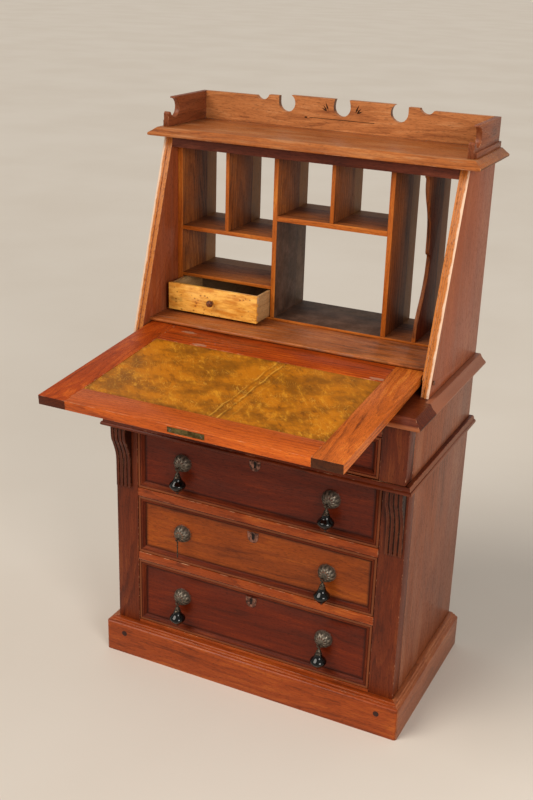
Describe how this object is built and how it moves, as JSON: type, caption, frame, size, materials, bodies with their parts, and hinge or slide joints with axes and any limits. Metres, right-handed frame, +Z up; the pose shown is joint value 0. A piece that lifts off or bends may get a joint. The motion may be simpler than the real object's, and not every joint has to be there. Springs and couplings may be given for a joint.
{
  "type": "secretary desk",
  "caption": "Slant-front secretary desk with a leather-lined fall flap, pigeonhole nest, long drawers with drop pulls and a pierced gallery.",
  "frame": {"origin": "on the floor, under the middle of the box that holds the desk with its flap open", "axes": "+Z up, -Y out of the front towards the sitter, +X to the right seen from the front"},
  "size_m": [0.7308, 0.6864, 1.2465],
  "materials": {
    "walnut": "waxed walnut, warm red-brown",
    "walnut_dark": "waxed walnut, darker and redder",
    "walnut_light": "waxed walnut, faded",
    "maple": "bird's-eye maple, polished",
    "drawer_wood": "plain secondary wood",
    "leather": "worn, creased and mottled",
    "brass": "aged",
    "ebonised": "ebonised, glossy",
    "knob_wood": "turned, polished"
  },
  "bodies": {
    "case": {"plinth_front": "walnut", "plinth_left": "walnut", "plinth_right": "walnut", "lower_side_left": "walnut_light", "lower_side_right": "walnut_light", "stile_left": "walnut", "stile_right": "walnut", "corbel_left": "walnut", "corbel_right": "walnut", "bottom_board": "walnut", "drawer_divider_lower": "walnut", "drawer_divider_upper": "walnut", "waist_board": "walnut", "waist_moulding": "walnut", "frieze_stile_left": "walnut", "frieze_stile_right": "walnut", "desk_board": "walnut", "lower_back": "walnut_dark", "slant_side_left": "walnut_light", "slant_side_right": "walnut_light", "top_board": "walnut_light", "top_rail": "walnut", "gallery_back": "walnut", "gallery_left": "walnut", "gallery_right": "walnut", "writing_ledge": "walnut", "nest_side_left": "walnut_dark", "nest_base": "walnut_light", "partition_left": "walnut_light", "partition_right": "walnut_light", "ledger_divider": "walnut_dark", "letter_shelf_left": "walnut_light", "letter_shelf_right": "walnut_light", "letter_divider_left": "walnut_light", "letter_divider_right": "walnut_light", "drawer_shelf": "walnut_light", "flap_pivot_left": "brass", "flap_pivot_right": "brass"},
    "flap": {"flap_stile_left": "walnut", "flap_stile_right": "walnut", "flap_rail_front": "walnut_light", "flap_rail_rear": "walnut", "flap_leather": "leather", "flap_lock": "brass"},
    "flap_bolt": {"flap_lock_bolt": "brass"},
    "nest_drawer": {"nest_drawer_front": "maple", "nest_drawer_box": "drawer_wood", "nest_drawer_knob": "knob_wood"},
    "frieze_drawer": {"drawer_frieze": "walnut_dark"},
    "frieze_left_pull": {"drop_frieze_left": "ebonised"},
    "frieze_right_pull": {"drop_frieze_right": "ebonised"},
    "upper_drawer": {"drawer_upper": "walnut_dark"},
    "upper_left_pull": {"drop_upper_left": "ebonised"},
    "upper_right_pull": {"drop_upper_right": "ebonised"},
    "middle_drawer": {"drawer_middle": "walnut_dark"},
    "middle_left_pull": {"wire_middle_left": "brass"},
    "middle_right_pull": {"drop_middle_right": "ebonised"},
    "lower_drawer": {"drawer_lower": "walnut_dark"},
    "lower_left_pull": {"drop_lower_left": "ebonised"},
    "lower_right_pull": {"drop_lower_right": "ebonised"}
  },
  "joints": [
    {"name": "flap_hinge", "type": "hinge", "parent": "case", "child": "flap", "pos_m": [0, 0.04623, 0.7655], "axis": [-1, 0, 0], "range_deg": [0, 113.2]},
    {"name": "flap_bolt_slide", "type": "slide", "parent": "flap", "child": "flap_bolt", "axis": [0, -0.9966, -0.0819], "range_m": [0, 0.006]},
    {"name": "nest_drawer_slide", "type": "slide", "parent": "case", "child": "nest_drawer", "axis": [0, -1, 0], "range_m": [-0.063, 0.03]},
    {"name": "frieze_drawer_slide", "type": "slide", "parent": "case", "child": "frieze_drawer", "axis": [0, -1, 0], "range_m": [0, 0.3]},
    {"name": "frieze_left_pull_swing", "type": "hinge", "parent": "frieze_drawer", "child": "frieze_left_pull", "pos_m": [-0.173, -0.09127, 0.648], "axis": [-1, 0, 0], "range_deg": [-5, 75]},
    {"name": "frieze_right_pull_swing", "type": "hinge", "parent": "frieze_drawer", "child": "frieze_right_pull", "pos_m": [0.173, -0.09127, 0.648], "axis": [-1, 0, 0], "range_deg": [-5, 75]},
    {"name": "upper_drawer_slide", "type": "slide", "parent": "case", "child": "upper_drawer", "axis": [0, -1, 0], "range_m": [0, 0.3]},
    {"name": "upper_left_pull_swing", "type": "hinge", "parent": "upper_drawer", "child": "upper_left_pull", "pos_m": [-0.173, -0.06227, 0.509], "axis": [-1, 0, 0], "range_deg": [-5, 75]},
    {"name": "upper_right_pull_swing", "type": "hinge", "parent": "upper_drawer", "child": "upper_right_pull", "pos_m": [0.173, -0.06227, 0.509], "axis": [-1, 0, 0], "range_deg": [-5, 75]},
    {"name": "middle_drawer_slide", "type": "slide", "parent": "case", "child": "middle_drawer", "axis": [0, -1, 0], "range_m": [0, 0.3]},
    {"name": "middle_left_pull_swing", "type": "hinge", "parent": "middle_drawer", "child": "middle_left_pull", "pos_m": [-0.173, -0.06227, 0.3377], "axis": [-1, 0, 0], "range_deg": [-5, 75]},
    {"name": "middle_right_pull_swing", "type": "hinge", "parent": "middle_drawer", "child": "middle_right_pull", "pos_m": [0.173, -0.06227, 0.338], "axis": [-1, 0, 0], "range_deg": [-5, 75]},
    {"name": "lower_drawer_slide", "type": "slide", "parent": "case", "child": "lower_drawer", "axis": [0, -1, 0], "range_m": [0, 0.3]},
    {"name": "lower_left_pull_swing", "type": "hinge", "parent": "lower_drawer", "child": "lower_left_pull", "pos_m": [-0.173, -0.06227, 0.177], "axis": [-1, 0, 0], "range_deg": [-5, 75]},
    {"name": "lower_right_pull_swing", "type": "hinge", "parent": "lower_drawer", "child": "lower_right_pull", "pos_m": [0.173, -0.06227, 0.177], "axis": [-1, 0, 0], "range_deg": [-5, 75]}
  ]
}
